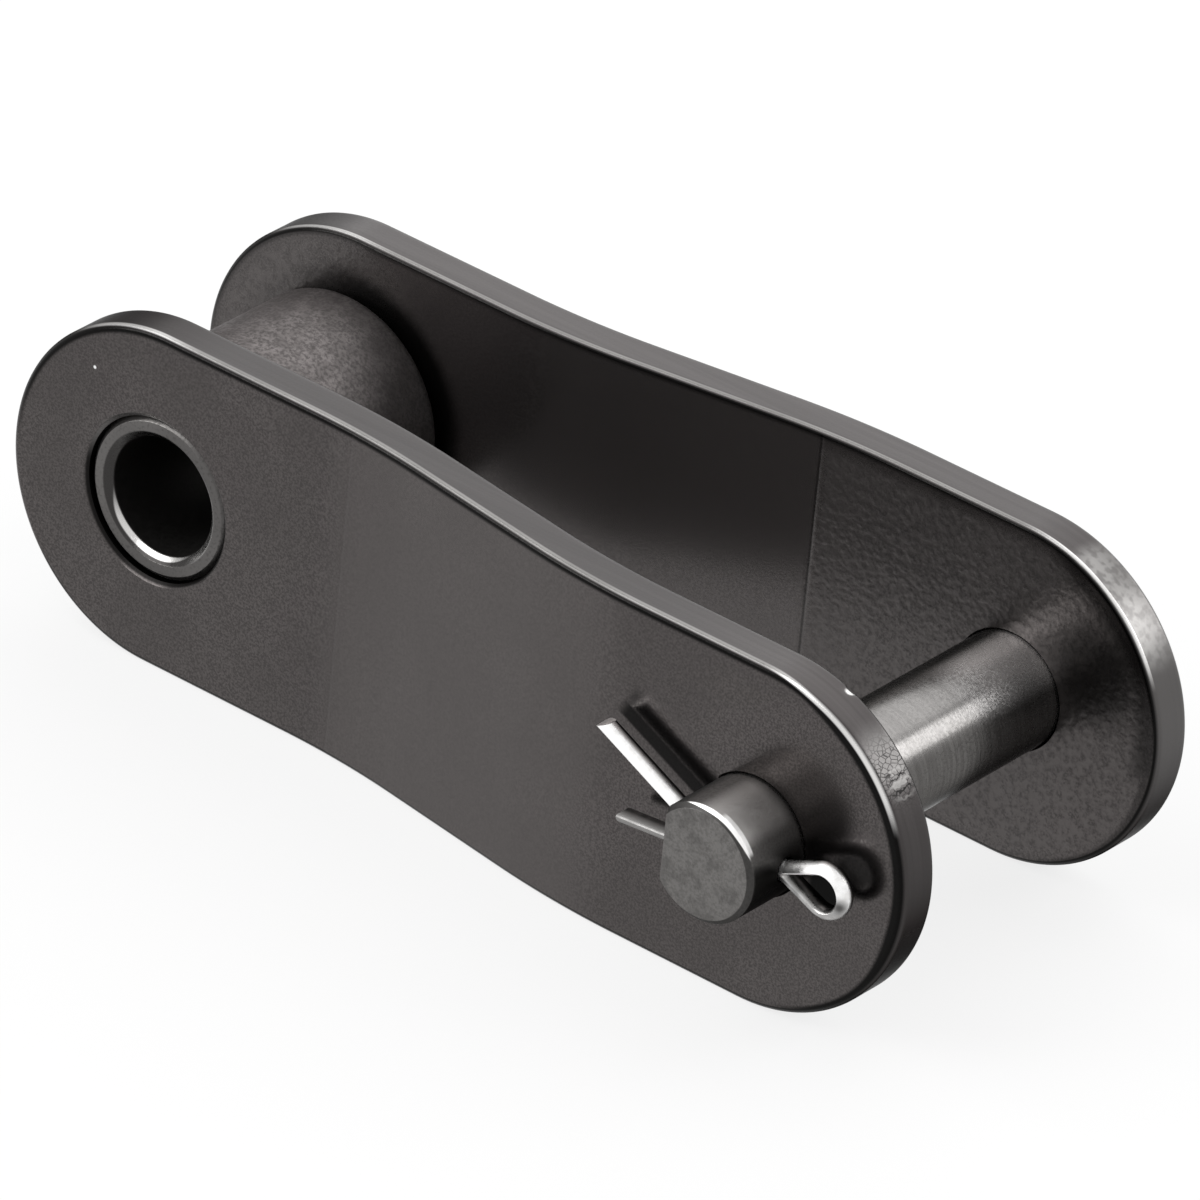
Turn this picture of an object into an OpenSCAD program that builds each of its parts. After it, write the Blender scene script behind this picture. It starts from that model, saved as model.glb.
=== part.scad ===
// Offset link of a double-pitch roller chain.
// The bushing axis is the Y axis, the link pin lies at x = pitch, and the plates stand on their lower edges.

/* [Chain] */
// Distance from the bushing axis to the link pin axis
pitch = 25.4; // [24:0.1:32]
// Clear width between the plates at the bushing end
inner_width = 7.85; // [6:0.05:10]
// Gap left on each side of the next link's narrow end between the wide ends of the plates
side_clearance = 0.1; // [0.05:0.01:0.3]

/* [Side plates] */
// Thickness of the plate stock
plate_thickness = 1.5; // [1:0.1:2]
// Height of the plates, which is also the width of their round ends
plate_height = 11.7; // [10.5:0.1:13]
// Radius worn onto the edges of the plate outline
plate_edge_radius = 0.2; // [0.1:0.02:0.35]
// Distance from the bushing axis to the corner of the first bend
crank_start = 8.2; // [7:0.1:10]
// Length of the crank along the link, from corner to corner
crank_run = 9.9; // [8:0.1:11]
// Length of the curved stretch on each side of a bend's corner
crank_blend = 2.4; // [1:0.1:3]
// Bevel at the outer mouth of the bushing holes
bushing_hole_bevel = 0.14; // [0.08:0.02:0.3]

/* [Bushing] */
// Outside diameter of the bushing
bushing_diameter = 5.6; // [5:0.1:6.4]
// Bore of the bushing
bushing_bore = 4.02; // [3.6:0.02:4.4]
// Depth of the bushing ends below the outer faces of the plates
bushing_recess = 0.19; // [0.05:0.02:0.4]
// Bevel at the mouths of the bore
bore_bevel = 0.25; // [0.1:0.05:0.35]
// Bevel on the outer edges of the bushing
bushing_bevel = 0.2; // [0.1:0.05:0.35]

/* [Roller] */
// Outside diameter of the roller
roller_diameter = 7.92; // [7.2:0.02:9]
// Running clearance between roller and bushing, on the radius
roller_clearance = 0.03; // [0.02:0.01:0.1]
// Gap between each end of the roller and the plate beside it
roller_end_gap = 0.16; // [0.05:0.01:0.3]
// Radius on the end edges of the roller
roller_edge_radius = 0.4; // [0.1:0.05:0.45]

/* [Link pin] */
// Diameter of the link pin
pin_diameter = 3.97; // [3.6:0.01:4.4]
// Slip clearance between the link pin and the plate holes, on the radius
pin_clearance = 0.02; // [0.01:0.01:0.05]
// Length of the pin standing out of the front plate
pin_front_length = 2.56; // [2.2:0.02:3]
// Distance from the pin axis to the flat that keeps the pin from turning
pin_flat = 1.42; // [1.2:0.02:1.7]
// Room between the step behind the flat and the inner face of the front plate
pin_step_gap = 0.1; // [0.05:0.01:0.2]
// Bevel around the front end of the pin
pin_bevel = 0.16; // [0.08:0.02:0.3]
// Diameter of the low head at the rear end
pin_head_diameter = 5.2; // [4.8:0.1:6]
// Height of the head
pin_head_height = 1.1; // [0.6:0.1:1.6]
// Height of the sloped rim of the head
pin_head_slope = 0.45; // [0.2:0.05:0.5]

/* [Split cotter pin] */
// Diameter of the two half-round legs laid together
cotter_diameter = 0.7; // [0.5:0.05:0.8]
// Slit left between the legs inside the hole
cotter_slit = 0.04; // [0.02:0.01:0.1]
// Clearance of the cross hole in the link pin, on the diameter
cotter_hole_clearance = 0.1; // [0.05:0.01:0.2]
// Gap between the front plate and the cotter
cotter_plate_gap = 0.5; // [0.4:0.05:0.7]
// Inside radius of the eye
eye_radius = 0.6; // [0.5:0.02:0.8]
// Distance from the surface of the pin to the middle of the eye
eye_reach = 1.58; // [1.4:0.02:1.8]
// Radius of the bends where the wire opens into the eye
eye_neck_radius = 0.6; // [0.45:0.05:0.7]
// Radius of the bends that spread the legs
leg_bend_radius = 0.5; // [0.45:0.05:0.7]
// Angle that the upper leg is bent up by
upper_leg_angle = 26; // [10:1:45]
// Length of the upper leg past its bend
upper_leg_length = 4.2; // [2:0.1:5]
// Angle that the lower leg is bent down by where it leaves the pin
lower_leg_angle = 38; // [20:1:45]
// Length of the steep stretch of the lower leg
lower_leg_drop = 0.6; // [0.4:0.05:1.2]
// Angle that the end of the lower leg still slopes down by
lower_leg_tilt = 5; // [0:1:12]
// Length of the end of the lower leg
lower_leg_length = 1.85; // [0.8:0.05:2.5]

/* [Hidden] */
$fn = 96;
// Overshoot of cutting tools past the faces that they cut
cut = 1;
// Largest turn between two neighbouring sections of a swept bend
bend_step = 1.2;
wire_step = 10;
// Flats around the half-round of the cotter wire
wire_sides = 10;
// Share of the edge radius that the middle of a plate's rounded edge lies in from the sharp corner
edge_share = 0.3;
plate_radius = plate_height / 2;
// Distance of the middle of the plate thickness from the middle of the link
narrow_y = inner_width / 2 + plate_thickness / 2;
crank_offset = plate_thickness + side_clearance;
wide_y = narrow_y + crank_offset;
narrow_face = narrow_y + plate_thickness / 2;
wide_face = wide_y + plate_thickness / 2;
wide_inner_face = wide_y - plate_thickness / 2;
// The crank rises at an angle between two bends of this radius
crank_angle = atan(crank_offset / crank_run);
crank_bend_radius = crank_blend / tan(crank_angle / 2);
crank_slope = crank_run / cos(crank_angle) - 2 * crank_blend;
bend_in = crank_start - crank_blend;
bend_out = crank_start + crank_run + crank_blend;
bushing_length = 2 * (narrow_face - bushing_recess);
roller_bore = bushing_diameter + 2 * roller_clearance;
roller_length = inner_width - 2 * roller_end_gap;
pin_radius = pin_diameter / 2;
pin_hole_radius = pin_radius + pin_clearance;
pin_front = -wide_face - pin_front_length;
pin_back = wide_face + pin_head_height;
pin_flat_end = -wide_inner_face + pin_step_gap;
cotter_radius = cotter_diameter / 2;
cotter_y = -wide_face - cotter_plate_gap - cotter_radius;
cotter_hole = cotter_diameter + cotter_slit + cotter_hole_clearance;
// Angle at which the wire runs from its neck to the eye, so that it meets both bends on a tangent
neck_rise = eye_neck_radius + cotter_slit / 2;
neck_span = norm([eye_reach, neck_rise]);
eye_angle = asin((eye_radius + eye_neck_radius) / neck_span) - atan2(neck_rise, eye_reach);
neck_run = eye_reach * cos(eye_angle) - neck_rise * sin(eye_angle);
// From the surface of the pin on the eye's side to the flat on the legs' side
cotter_grip = pin_radius + pin_flat;

// A station of a path is [x, y, heading]. This one lies straight ahead of another.
function ahead(at, distance) =
    [at.x + distance * cos(at.z), at.y + distance * sin(at.z), at.z];

// Station reached by turning about a centre beside the path, to the left for a positive turn
function around(at, turn, radius) =
    let (side = sign(turn), centre = [at.x - side * radius * sin(at.z), at.y + side * radius * cos(at.z)])
    [centre.x + side * radius * sin(at.z + turn), centre.y - side * radius * cos(at.z + turn), at.z + turn];

// Stations along a list of [length, turn, radius] steps
function travel(at, steps, step_angle, index = 0) =
    index == len(steps) ? [at] :
    let (
        step = steps[index],
        bend = ahead(at, step[0]),
        count = ceil(abs(step[1]) / step_angle),
        arc = [for (k = [1 : 1 : count]) around(bend, step[1] * k / count, step[2])],
        straight = step[0] > 0 && count > 0 ? [at, bend] : [at],
        reached = count > 0 ? arc[count - 1] : bend,
        passed = [for (k = [0 : 1 : count - 2]) arc[k]]
    )
    concat(straight, passed, travel(reached, steps, step_angle, index + 1));

// Section swept along stations in the XY plane: its X points to the left of the path and its Y along Z
module sweep(stations, section) {
    n = len(section);
    last = len(stations) - 1;
    points = [
        for (s = stations, q = section)
            [s.x - q.x * sin(s.z), s.y + q.x * cos(s.z), q.y]
    ];
    sides = [
        for (k = [0 : last - 1], i = [0 : n - 1])
            let (j = (i + 1) % n)
            [k * n + i, (k + 1) * n + i, (k + 1) * n + j, k * n + j]
    ];
    start_cap = [for (i = [0 : n - 1]) i];
    end_cap = [for (i = [n - 1 : -1 : 0]) last * n + i];
    polyhedron(points, concat(sides, [start_cap, end_cap]));
}

// Rectangle with round corners, centred
module rounded_rectangle(size, r) {
    square([size.x - 2 * r, size.y], center = true);
    square([size.x, size.y - 2 * r], center = true);
    for (x = [-1, 1], y = [-1, 1])
        translate([x * (size.x / 2 - r), y * (size.y / 2 - r)]) circle(r);
}

// One worn corner of a plate's section, anticlockwise, at half sizes w and h
function worn_corner(w, h) = [
    [w, h - plate_edge_radius],
    [w - edge_share * plate_edge_radius, h - edge_share * plate_edge_radius],
    [w - plate_edge_radius, h]
];

// Cross-section of a plate: thickness along X, height along Y
plate_section =
    let (
        corner = worn_corner(plate_thickness / 2, plate_radius),
        top = concat(corner, [for (i = [2 : -1 : 0]) [-corner[i].x, corner[i].y]])
    )
    concat(top, [for (q = top) -q]);

// Half of a round plate end about the Y axis, opening towards the given angle
module plate_end(start) {
    rim = worn_corner(plate_radius, plate_thickness / 2);
    rotate([-90, 0, 0])
        rotate_extrude(angle = 180, start = start)
            polygon(concat(
                [[0, -plate_thickness / 2]],
                [for (i = [2 : -1 : 0]) [rim[i].x, -rim[i].y]],
                rim,
                [[0, plate_thickness / 2]]
            ));
}

// Straight stretch of plate along +X
module plate_run(length) {
    rotate([90, 0, 90]) linear_extrude(length) polygon(plate_section);
}

// Cranked plate without holes, on the +Y side
module cranked_blank() {
    crank = [
        [0, crank_angle, crank_bend_radius],
        [crank_slope, -crank_angle, crank_bend_radius]
    ];
    translate([0, narrow_y, 0]) {
        plate_end(90);
        plate_run(bend_in);
        sweep(travel([bend_in, 0, 0], crank, bend_step), plate_section);
    }
    translate([bend_out, wide_y, 0]) plate_run(pitch - bend_out);
    translate([pitch, wide_y, 0]) plate_end(-90);
}

// Bushing hole through the plate on the +Y side, with its bevelled outer mouth
module bushing_hole() {
    mouth = bushing_diameter / 2 + bushing_hole_bevel + cut;
    rotate([-90, 0, 0]) {
        cylinder(d = bushing_diameter, h = narrow_face + cut);
        translate([0, 0, narrow_face - bushing_hole_bevel])
            cylinder(r1 = bushing_diameter / 2, r2 = mouth, h = bushing_hole_bevel + cut);
    }
}

module front_plate() {
    color("#4b4847")
        difference() {
            mirror([0, 1, 0]) cranked_blank();
            mirror([0, 1, 0]) bushing_hole();
            translate([pitch, -wide_face - cut, 0])
                rotate([-90, 0, 0])
                    linear_extrude(plate_thickness + 2 * cut)
                        pin_outline(pin_clearance);
        }
}

module rear_plate() {
    color("#4b4847")
        difference() {
            cranked_blank();
            bushing_hole();
            translate([pitch, wide_inner_face - cut, 0])
                rotate([-90, 0, 0])
                    cylinder(r = pin_hole_radius, h = plate_thickness + 2 * cut);
        }
}

module bushing() {
    wall = (bushing_diameter - bushing_bore) / 2;
    color("#8a8684")
        rotate([90, 0, 0])
            rotate_extrude()
                translate([bushing_bore / 2, -bushing_length / 2])
                    polygon([
                        [0, bore_bevel],
                        [bore_bevel, 0],
                        [wall - bushing_bevel, 0],
                        [wall, bushing_bevel],
                        [wall, bushing_length - bushing_bevel],
                        [wall - bushing_bevel, bushing_length],
                        [bore_bevel, bushing_length],
                        [0, bushing_length - bore_bevel]
                    ]);
}

module roller() {
    wall = (roller_diameter - roller_bore) / 2;
    color("#787370")
        rotate([90, 0, 0])
            rotate_extrude()
                translate([roller_bore / 2 + wall / 2, 0])
                    rounded_rectangle([wall, roller_length], roller_edge_radius);
}

// Outline of the pin's front end, a circle cut off by the flat, grown all round by a margin
module pin_outline(margin) {
    reach = pin_radius + margin;
    intersection() {
        circle(reach);
        translate([-pin_flat - margin, -reach]) square([2 * reach, 2 * reach]);
    }
}

module link_pin() {
    color("#6b6866")
        difference() {
            translate([pitch, 0, 0])
                rotate([-90, 0, 0])
                    rotate_extrude()
                        polygon([
                            [0, pin_front],
                            [pin_radius - pin_bevel, pin_front],
                            [pin_radius, pin_front + pin_bevel],
                            [pin_radius, wide_face],
                            [pin_head_diameter / 2, wide_face],
                            [pin_head_diameter / 2, pin_back - pin_head_slope],
                            [pin_head_diameter / 2 - 2 * pin_head_slope, pin_back],
                            [0, pin_back]
                        ]);
            translate([pitch - pin_flat - pin_diameter, pin_front - cut, -pin_diameter])
                cube([pin_diameter, pin_flat_end - pin_front + cut, 2 * pin_diameter]);
            translate([pitch - pin_diameter, cotter_y, 0])
                rotate([0, 90, 0])
                    cylinder(d = cotter_hole, h = 2 * pin_diameter);
        }
}

// Half-round section of the wire, with its flat side towards the inside of the fold
wire_section = [
    for (k = [0 : wire_sides])
        let (a = 180 * k / wire_sides)
        cotter_radius * [sin(a), cos(a)]
];

module cotter_pin() {
    // The path starts at the tip of the upper leg, goes through the pin, round the eye and back
    leg_rise = leg_bend_radius * (1 - cos(upper_leg_angle)) + upper_leg_length * sin(upper_leg_angle);
    leg_reach = leg_bend_radius * sin(upper_leg_angle) + upper_leg_length * cos(upper_leg_angle);
    tip = [-pin_flat - leg_reach, cotter_slit / 2 + leg_rise, -upper_leg_angle];
    bends = [
        [upper_leg_length, upper_leg_angle, leg_bend_radius],
        [cotter_grip, eye_angle, eye_neck_radius],
        [neck_run, -180 - 2 * eye_angle, eye_radius],
        [neck_run, eye_angle, eye_neck_radius],
        [cotter_grip, lower_leg_angle, leg_bend_radius],
        [lower_leg_drop, lower_leg_tilt - lower_leg_angle, leg_bend_radius],
        [lower_leg_length, 0, 0]
    ];
    color("#d8d6d2")
        translate([pitch, cotter_y, 0])
            rotate([90, 0, 0])
                sweep(travel(tip, bends, wire_step), wire_section);
}

front_plate();
rear_plate();
bushing();
roller();
link_pin();
cotter_pin();
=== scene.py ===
from functools import partial, reduce
from math import acos, asin, atan, atan2, ceil, cos, hypot, pi, radians, sin, tan
import bmesh
import bpy
from mathutils import Matrix, Vector


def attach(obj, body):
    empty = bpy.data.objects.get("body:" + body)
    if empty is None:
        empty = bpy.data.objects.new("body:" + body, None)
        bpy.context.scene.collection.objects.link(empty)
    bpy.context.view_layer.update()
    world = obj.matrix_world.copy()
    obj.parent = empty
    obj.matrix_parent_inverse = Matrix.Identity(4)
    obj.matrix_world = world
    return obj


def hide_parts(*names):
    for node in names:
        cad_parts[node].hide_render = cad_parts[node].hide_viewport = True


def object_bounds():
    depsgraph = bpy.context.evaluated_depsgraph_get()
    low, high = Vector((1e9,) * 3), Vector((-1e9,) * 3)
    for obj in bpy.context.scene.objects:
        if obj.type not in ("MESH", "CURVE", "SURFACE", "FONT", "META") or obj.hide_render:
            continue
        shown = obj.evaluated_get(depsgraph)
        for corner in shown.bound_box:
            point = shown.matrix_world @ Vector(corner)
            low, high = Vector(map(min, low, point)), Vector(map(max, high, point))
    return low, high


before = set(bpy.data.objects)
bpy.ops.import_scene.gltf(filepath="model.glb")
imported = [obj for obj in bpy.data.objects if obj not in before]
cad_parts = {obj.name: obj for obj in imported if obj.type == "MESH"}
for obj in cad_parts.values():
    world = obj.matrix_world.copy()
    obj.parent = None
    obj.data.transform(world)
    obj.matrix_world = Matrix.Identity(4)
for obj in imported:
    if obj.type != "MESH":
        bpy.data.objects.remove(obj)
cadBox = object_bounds()
scene = bpy.context.scene
mm = 0.001

# all lengths in the dictionaries are millimetres
chain = {"pitch": 25.4, "innerWidth": 7.85, "sideGap": 0.1}


# helpers for meshes

def evenly(start, end, count):
    return [start + (end - start) * k / count for k in range(count + 1)]


def meshPiece(name, verts, faces, values=None, material=None):
    mesh = bpy.data.meshes.new(name)
    mesh.from_pydata([Vector(v) * mm for v in verts], [], faces)
    for label, numbers in (values or {}).items():
        layer = mesh.attributes.new(label, "FLOAT", "POINT")
        layer.data.foreach_set("value", numbers)
    made = bmesh.new()
    made.from_mesh(mesh)
    bmesh.ops.recalc_face_normals(made, faces=made.faces)
    made.to_mesh(mesh)
    made.free()
    if material:
        mesh.materials.append(material)
    piece = bpy.data.objects.new(name, mesh)
    scene.collection.objects.link(piece)
    return piece


def smoothPiece(piece, angle):
    mesh = piece.data
    mesh.polygons.foreach_set("use_smooth", [True] * len(mesh.polygons))
    mesh.set_sharp_from_angle(angle=radians(angle))
    mesh.update()


# swaps the live modifiers for the plain mesh that they make
def settle(piece):
    graph = bpy.context.evaluated_depsgraph_get()
    mesh = bpy.data.meshes.new_from_object(
        piece.evaluated_get(graph), preserve_all_data_layers=True, depsgraph=graph)
    mesh.name = piece.name
    piece.modifiers.clear()
    piece.data = mesh


def handOver(piece, body, node):
    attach(piece, body)
    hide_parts(node)


# helpers for node trees

def calc(tree, operation, *terms):
    node = tree.nodes.new("ShaderNodeMath")
    node.operation = operation
    for entry, term in zip(node.inputs, terms):
        if isinstance(term, (int, float)):
            entry.default_value = term
        else:
            tree.links.new(term, entry)
    return node.outputs[0]


def startTree(name, sizes):
    tree = bpy.data.node_groups.new(name, "GeometryNodeTree")
    face = tree.interface
    face.new_socket("Geometry", in_out="INPUT", socket_type="NodeSocketGeometry")
    for label in sizes:
        face.new_socket(label, in_out="INPUT", socket_type="NodeSocketFloat")
    face.new_socket("Material", in_out="INPUT", socket_type="NodeSocketMaterial")
    face.new_socket("Geometry", in_out="OUTPUT", socket_type="NodeSocketGeometry")
    return tree, tree.nodes.new("NodeGroupInput").outputs


def endTree(tree, geometry, material):
    real = tree.nodes.new("GeometryNodeRealizeInstances")
    paint = tree.nodes.new("GeometryNodeSetMaterial")
    out = tree.nodes.new("NodeGroupOutput")
    tree.links.new(geometry, real.inputs["Geometry"])
    tree.links.new(real.outputs["Geometry"], paint.inputs["Geometry"])
    tree.links.new(material, paint.inputs["Material"])
    tree.links.new(paint.outputs["Geometry"], out.inputs["Geometry"])


def fitTree(piece, tree, values):
    modifier = piece.modifiers.new(tree.name, "NODES")
    modifier.node_group = tree
    for item in tree.interface.items_tree:
        if item.in_out == "INPUT" and item.name in values:
            modifier[item.identifier] = values[item.name]


# helpers for finishes

def newFinish(name, metallic, roughness):
    finish = bpy.data.materials.new(name)
    finish.use_nodes = True
    tree = finish.node_tree
    tree.nodes.clear()
    out = tree.nodes.new("ShaderNodeOutputMaterial")
    shader = tree.nodes.new("ShaderNodeBsdfPrincipled")
    tree.links.new(shader.outputs["BSDF"], out.inputs["Surface"])
    shader.inputs["Metallic"].default_value = metallic
    shader.inputs["Roughness"].default_value = roughness
    coords = tree.nodes.new("ShaderNodeTexCoord").outputs["Object"]
    return finish, tree, shader, coords


def stretched(tree, coords, scale):
    node = tree.nodes.new("ShaderNodeMapping")
    node.inputs["Scale"].default_value = scale
    tree.links.new(coords, node.inputs["Vector"])
    return node.outputs["Vector"]


def grain(tree, coords, scale, detail, rough=0.55):
    node = tree.nodes.new("ShaderNodeTexNoise")
    node.inputs["Scale"].default_value = scale
    node.inputs["Detail"].default_value = detail
    node.inputs["Roughness"].default_value = rough
    tree.links.new(coords, node.inputs["Vector"])
    return node.outputs["Fac"]


def cracks(tree, coords, scale):
    node = tree.nodes.new("ShaderNodeTexVoronoi")
    node.feature = "DISTANCE_TO_EDGE"
    node.inputs["Scale"].default_value = scale
    tree.links.new(coords, node.inputs["Vector"])
    return node.outputs["Distance"]


def spread(tree, value, low, high, atLow=0.0, atHigh=1.0):
    node = tree.nodes.new("ShaderNodeMapRange")
    node.interpolation_type = "SMOOTHSTEP"
    for label, number in (("From Min", low), ("From Max", high), ("To Min", atLow), ("To Max", atHigh)):
        node.inputs[label].default_value = number
    tree.links.new(value, node.inputs["Value"])
    return node.outputs["Result"]


def tint(tree, share, first, second):
    node = tree.nodes.new("ShaderNodeMix")
    node.data_type = "RGBA"
    for entry, term in ((node.inputs[0], share), (node.inputs[6], first), (node.inputs[7], second)):
        if isinstance(term, tuple):
            entry.default_value = (*term, 1)
        else:
            tree.links.new(term, entry)
    return node.outputs[2]


def written(tree, label):
    node = tree.nodes.new("ShaderNodeAttribute")
    node.attribute_name = label
    return node.outputs["Fac"]


# the object's coordinates one by one, in millimetres
def parted(tree, coords):
    node = tree.nodes.new("ShaderNodeSeparateXYZ")
    tree.links.new(stretched(tree, coords, (1000, 1000, 1000)), node.inputs[0])
    return node.outputs


# distance from the Y axis through the bushing, in millimetres
def axisGap(tree, coords):
    node = tree.nodes.new("ShaderNodeVectorMath")
    node.operation = "LENGTH"
    tree.links.new(stretched(tree, coords, (1000, 0, 1000)), node.inputs[0])
    return node.outputs["Value"]


# soft round mark about a point of the object, 1 inside
def mark(tree, coords, place, size, soft):
    node = tree.nodes.new("ShaderNodeVectorMath")
    node.operation = "DISTANCE"
    tree.links.new(coords, node.inputs[0])
    node.inputs[1].default_value = [c * mm for c in place]
    return spread(tree, node.outputs["Value"], size * mm, (size + soft) * mm, 1.0, 0.0)


def relief(tree, shader, height, strength, depth):
    node = tree.nodes.new("ShaderNodeBump")
    node.inputs["Strength"].default_value = strength
    node.inputs["Distance"].default_value = depth * mm
    tree.links.new(height, node.inputs["Height"])
    tree.links.new(node.outputs["Normal"], shader.inputs["Normal"])


# helpers tied to one tree: any sum, the product or the greatest of some terms, a ramp and a blend
def tied(tree):
    both = partial(calc, tree)
    times = lambda *terms: reduce(partial(both, "MULTIPLY"), terms)
    most = lambda *terms: reduce(partial(both, "MAXIMUM"), terms)
    return both, times, most, partial(spread, tree), partial(tint, tree)


# finishes, on the object's own coordinates

def plateFinish():
    tone = {
        "dark": (0.056, 0.051, 0.05), "light": (0.099, 0.09, 0.088), "middle": (0.099, 0.0905, 0.0885),
        "rimDark": (0.051, 0.0465, 0.046), "rimLight": (0.065, 0.0595, 0.059), "darkRimTone": (0.046, 0.0425, 0.042),
        "pale": (0.11, 0.1055, 0.1035), "worn": (0.2, 0.195, 0.19), "edgeGlint": (0.75, 0.74, 0.73),
        "line": (0.003, 0.0029, 0.0028), "edge": (0.2, 0.195, 0.19),
    }
    finish, tree, shader, coords = newFinish("oiledPlateSteel", 0.95, 0.3)
    both, times, most, ramp, blend = tied(tree)
    x, y, z = parted(tree, coords)
    rim, gap, turn = written(tree, "rimShare"), written(tree, "edgeGap"), written(tree, "edgeTurn")
    crease, inner = written(tree, "creaseLine"), written(tree, "innerFace")
    rear, wide = ramp(y, -1.0, 1.0), ramp(x, 26.0, 28.5)
    front = both("SUBTRACT", 1.0, rear)
    cloud = grain(tree, coords, 300, 1)
    fine = grain(tree, coords, 13500, 1, 0.6)
    hide = grain(tree, coords, 4200, 1, 0.5)

    # faces: clouded and speckled, with painted light making the sloped stretch between the bends a little lighter,
    # coarse inside the wide end
    face = blend(ramp(fine, 0.3, 0.7), tone["light"], tone["dark"])
    face = blend(ramp(cloud, 0.35, 0.65, 0.0, 0.3), face, tone["dark"])
    middle = times(ramp(x, 6.4, 8.4), ramp(x, 18.0, 20.5, 0.5, 0.0))
    face = blend(middle, face, tone["middle"])
    coarse = times(inner, ramp(gap, 0.25, 0.7), most(ramp(x, 17.2, 18.0), ramp(x, 0.5, 2.5, 0.8, 0.0)))
    face = blend(times(coarse, ramp(hide, 0.35, 0.62, 0.9, 0.0)), face, tone["middle"])
    # painted shade: black along the upper edges and all round the wide end, and in a wider band on the inner faces
    # there
    reach = ramp(gap, 0.2, 0.34, 1.0, 0.0)
    broad = times(wide, ramp(z, -3.8, -0.8))
    tree.links.new(both("MULTIPLY_ADD", broad, 0.16, 0.2), reach.node.inputs["From Min"])
    tree.links.new(both("MULTIPLY_ADD", broad, 0.2, 0.34), reach.node.inputs["From Max"])
    reach = times(reach, both("MULTIPLY_ADD", inner, -0.45, 0.97))
    edge = times(reach, most(wide, ramp(z, -1.0, 2.5)))
    shade = times(inner, wide, ramp(gap, 0.5, 1.3, 0.65, 0.0))
    edge = most(edge, times(shade, ramp(z, -1.4, -0.4)))
    # painted shadow on the rear plate round the roller and beside the pin
    radius = axisGap(tree, coords)
    ring = times(ramp(radius, 4.2, 4.9, 0.9, 0.0), ramp(x, -3.0, 0.5, 0.2, 1.0))
    ring = most(ring, times(mark(tree, coords, (28.6, 5.525, 2.0), 0.8, 1.6), 0.7))
    edge = most(edge, times(ring, rear, inner))
    # painted shadow on the front plate behind the eye of the cotter and beside its upper leg
    edge = most(edge, mark(tree, coords, (28.35, -7.05, -0.62), 0.55, 0.4))
    edge = most(edge, times(mark(tree, coords, (29.35, -7.05, 0.35), 0.5, 0.5), 0.85))
    beside = both("MULTIPLY_ADD", x, 0.438, both("MULTIPLY_ADD", z, 0.899, -10.52))
    along = both("MULTIPLY_ADD", x, -0.899, both("MULTIPLY_ADD", z, 0.438, 21.55))
    legShadow = most(ramp(beside, 0.4, 0.6, 0.92, 0.0), ramp(beside, 0.9, 1.4, 0.5, 0.0))
    legShadow = times(legShadow, ramp(beside, -0.1, 0.02))
    legShadow = times(legShadow, ramp(along, 4.2, 4.7, 1.0, 0.0), ramp(along, -1.5, -1.0))
    edge = most(edge, times(legShadow, ramp(y, -6.9, -6.6, 1.0, 0.0)))
    face = blend(edge, face, tone["line"])
    # painted shade in the crease lines, more on the inner faces
    face = blend(times(crease, both("MULTIPLY_ADD", inner, 0.5, 0.1)), face, tone["line"])

    # rims: sheared, a little darker on the front plate short of the wide end and darker round the narrow end;
    # painted shade darkens them low down, and painted light makes the rear plate's rim paler below the top of the
    # wide end
    drag = grain(tree, stretched(tree, coords, (90, 5200, 90)), 1.0, 2, 0.6)
    edgeTone = blend(ramp(drag, 0.2, 0.8), tone["rimDark"], tone["rimLight"])
    edgeTone = blend(times(front, ramp(x, 20.0, 26.0, 0.26, 0.0)), edgeTone, tone["line"])
    edgeTone = blend(times(rear, wide, ramp(z, 3.8, 5.2, 0.7, 0.0)), edgeTone, tone["pale"])
    level = both("MULTIPLY_ADD", rear, 1.6, z)
    tip = times(front, ramp(x, -3.4, 2.6, 1.0, 0.0))
    tip = most(tip, ramp(x, -3.6, -0.4, 1.0, 0.0))
    lowShadeAndTip = most(ramp(level, -1.4, 3.4, 1.0, 0.0), tip)
    edgeTone = blend(times(lowShadeAndTip, 0.92), edgeTone, tone["darkRimTone"])
    # crackled in one patch with a few bars across it, under a pale painted highlight, and another painted
    # highlight on the rear plate's rim
    cells = cracks(tree, stretched(tree, coords, (1.0, 0.8, 1.3)), 5600)
    crackle = times(mark(tree, coords, (29.7, -6.2, 3.85), 0.4, 1.1), ramp(cells, 0.0, 0.12, 1.0, 0.0))
    edgeTone = blend(mark(tree, coords, (29.4, -6.2, 4.1), 0.5, 1.0), edgeTone, tone["pale"])
    edgeTone = blend(times(crackle, 0.85), edgeTone, tone["line"])
    bars = both("SINE", both("MULTIPLY_ADD", hide, 7.0, times(z, 17.0)))
    barred = mark(tree, coords, (30.0, -6.2, 3.5), 0.3, 0.4)
    edgeTone = blend(times(barred, ramp(bars, 0.2, 0.9, 0.0, 0.7)), edgeTone, tone["worn"])
    edgeTone = blend(times(barred, ramp(bars, -0.95, -0.8, 0.8, 0.0)), edgeTone, tone["line"])
    glintPatch = times(mark(tree, coords, (29.1, 6.2, 4.5), 1.7, 0.8), ramp(y, 5.9, 7.0, 1.0, 0.5))
    glintPatch = times(glintPatch, ramp(hide, 0.3, 0.6, 0.5, 1.0), ramp(z, 2.5, 2.75))
    edgeTone = blend(glintPatch, edgeTone, tone["worn"])
    body = blend(rim, face, edgeTone)
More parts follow.
